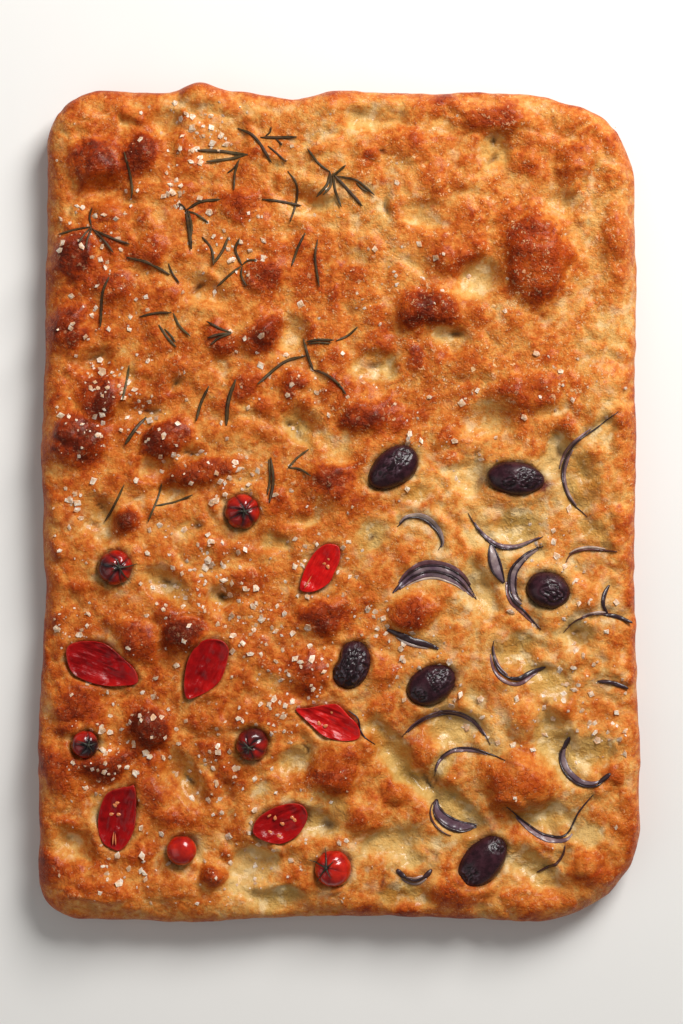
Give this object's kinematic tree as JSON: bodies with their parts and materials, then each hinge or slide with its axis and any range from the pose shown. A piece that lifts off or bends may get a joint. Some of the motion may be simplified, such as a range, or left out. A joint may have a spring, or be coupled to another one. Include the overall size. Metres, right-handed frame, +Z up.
{
  "type": "focaccia",
  "caption": "Flat rectangular sheet-pan bread with a dimpled, blistered golden crust, topped with olives, small tomatoes, tomato halves and red onion.",
  "frame": {"origin": "middle of the slab's plan, on its underside", "axes": "+X across the slab, +Y along its length, +Z up out of the topped crust"},
  "size_m": [0.2922, 0.4072, 0.0308],
  "materials": {
    "crust": "oiled golden-brown crust with paler dimples and browned blisters",
    "olive": "wrinkled, oily purple-black skin",
    "tomato": "shiny, wrinkled red skin",
    "tomato_flesh": "wet red cut flesh with fibres and seeds",
    "onion": "soft, half-clear purple-grey slices with dark edges"
  },
  "bodies": {
    "root": {"bread": "crust", "olive_01": "olive", "olive_02": "olive", "olive_03": "olive", "olive_04": "olive", "olive_05": "olive", "olive_06": "olive", "tomato_01": "tomato", "tomato_02": "tomato", "tomato_03": "tomato", "tomato_04": "tomato", "tomato_05": "tomato", "tomato_06": "tomato", "tomato_half_01": "tomato_flesh", "tomato_half_02": "tomato_flesh", "tomato_half_03": "tomato_flesh", "tomato_half_04": "tomato_flesh", "tomato_half_05": "tomato_flesh", "tomato_half_06": "tomato_flesh", "onion_01": "onion", "onion_02": "onion", "onion_03": "onion", "onion_04": "onion", "onion_05": "onion", "onion_06": "onion", "onion_07": "onion", "onion_08": "onion", "onion_09": "onion", "onion_10": "onion", "onion_11": "onion", "onion_12": "onion", "onion_13": "onion", "onion_14": "onion", "onion_15": "onion", "onion_16": "onion", "onion_17": "onion", "onion_18": "onion", "onion_19": "onion"}
  },
  "joints": []
}
